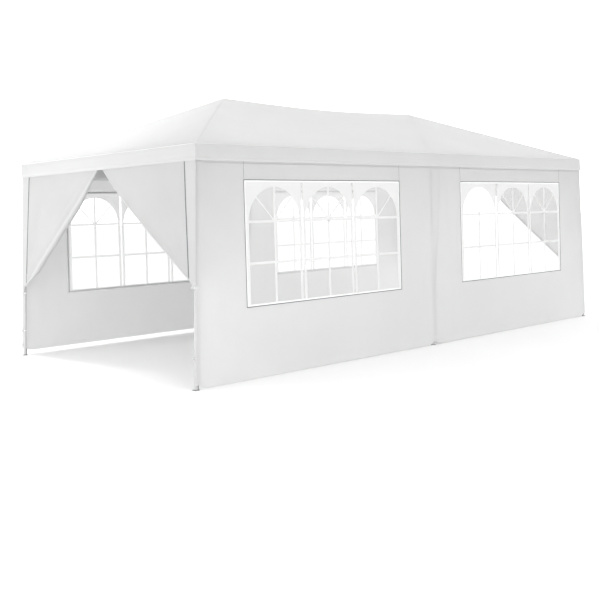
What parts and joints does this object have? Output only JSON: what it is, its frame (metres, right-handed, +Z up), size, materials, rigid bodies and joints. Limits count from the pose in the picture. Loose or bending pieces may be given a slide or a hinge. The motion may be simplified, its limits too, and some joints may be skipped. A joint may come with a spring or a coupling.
{
  "type": "party marquee tent",
  "caption": "White party marquee with a double-peaked hipped roof on a tube frame, arched window side walls and a tied-back cloth door at each end.",
  "frame": {"origin": "on the ground under the middle of the tent", "axes": "+X along the tent towards the right end, +Y across it towards the back, +Z up"},
  "size_m": [6.1272, 3, 2.5999],
  "materials": {
    "frame_tube": "white powder coat, satin",
    "foot_plate": "dark powder coat, satin",
    "cover_cloth": "white coated woven polyethylene tarpaulin, soft sheen",
    "window_film": "clear flexible PVC film with welded white bars"
  },
  "bodies": {
    "root": {"corner_connector_back_left": "frame_tube", "corner_connector_back_right": "frame_tube", "corner_connector_front_left": "frame_tube", "corner_connector_front_right": "frame_tube", "door_flap_left_back": "cover_cloth", "door_flap_left_front": "cover_cloth", "door_flap_right_back": "cover_cloth", "door_flap_right_front": "cover_cloth", "eave_rail_back_left": "frame_tube", "eave_rail_back_right": "frame_tube", "eave_rail_front_left": "frame_tube", "eave_rail_front_right": "frame_tube", "eave_rail_left_end": "frame_tube", "eave_rail_right_end": "frame_tube", "foot_back_left": "foot_plate", "foot_back_mid": "foot_plate", "foot_back_right": "foot_plate", "foot_front_left": "foot_plate", "foot_front_mid": "foot_plate", "foot_front_right": "foot_plate", "hip_rafter_back_left": "frame_tube", "hip_rafter_back_right": "frame_tube", "hip_rafter_front_left": "frame_tube", "hip_rafter_front_right": "frame_tube", "leg_back_left": "frame_tube", "leg_back_mid": "frame_tube", "leg_back_right": "frame_tube", "leg_front_left": "frame_tube", "leg_front_mid": "frame_tube", "leg_front_right": "frame_tube", "mid_rafter_back_left": "frame_tube", "mid_rafter_back_right": "frame_tube", "mid_rafter_front_left": "frame_tube", "mid_rafter_front_right": "frame_tube", "peak_connector_left": "frame_tube", "peak_connector_right": "frame_tube", "roof_back": "cover_cloth", "roof_front": "cover_cloth", "roof_left_end": "cover_cloth", "roof_right_end": "cover_cloth", "side_connector_back": "frame_tube", "side_connector_front": "frame_tube", "wall_back_left": "cover_cloth", "wall_back_right": "cover_cloth", "wall_front_left": "cover_cloth", "wall_front_right": "cover_cloth", "window_back_left": "window_film", "window_back_right": "window_film", "window_front_left": "window_film", "window_front_right": "window_film"}
  },
  "joints": []
}
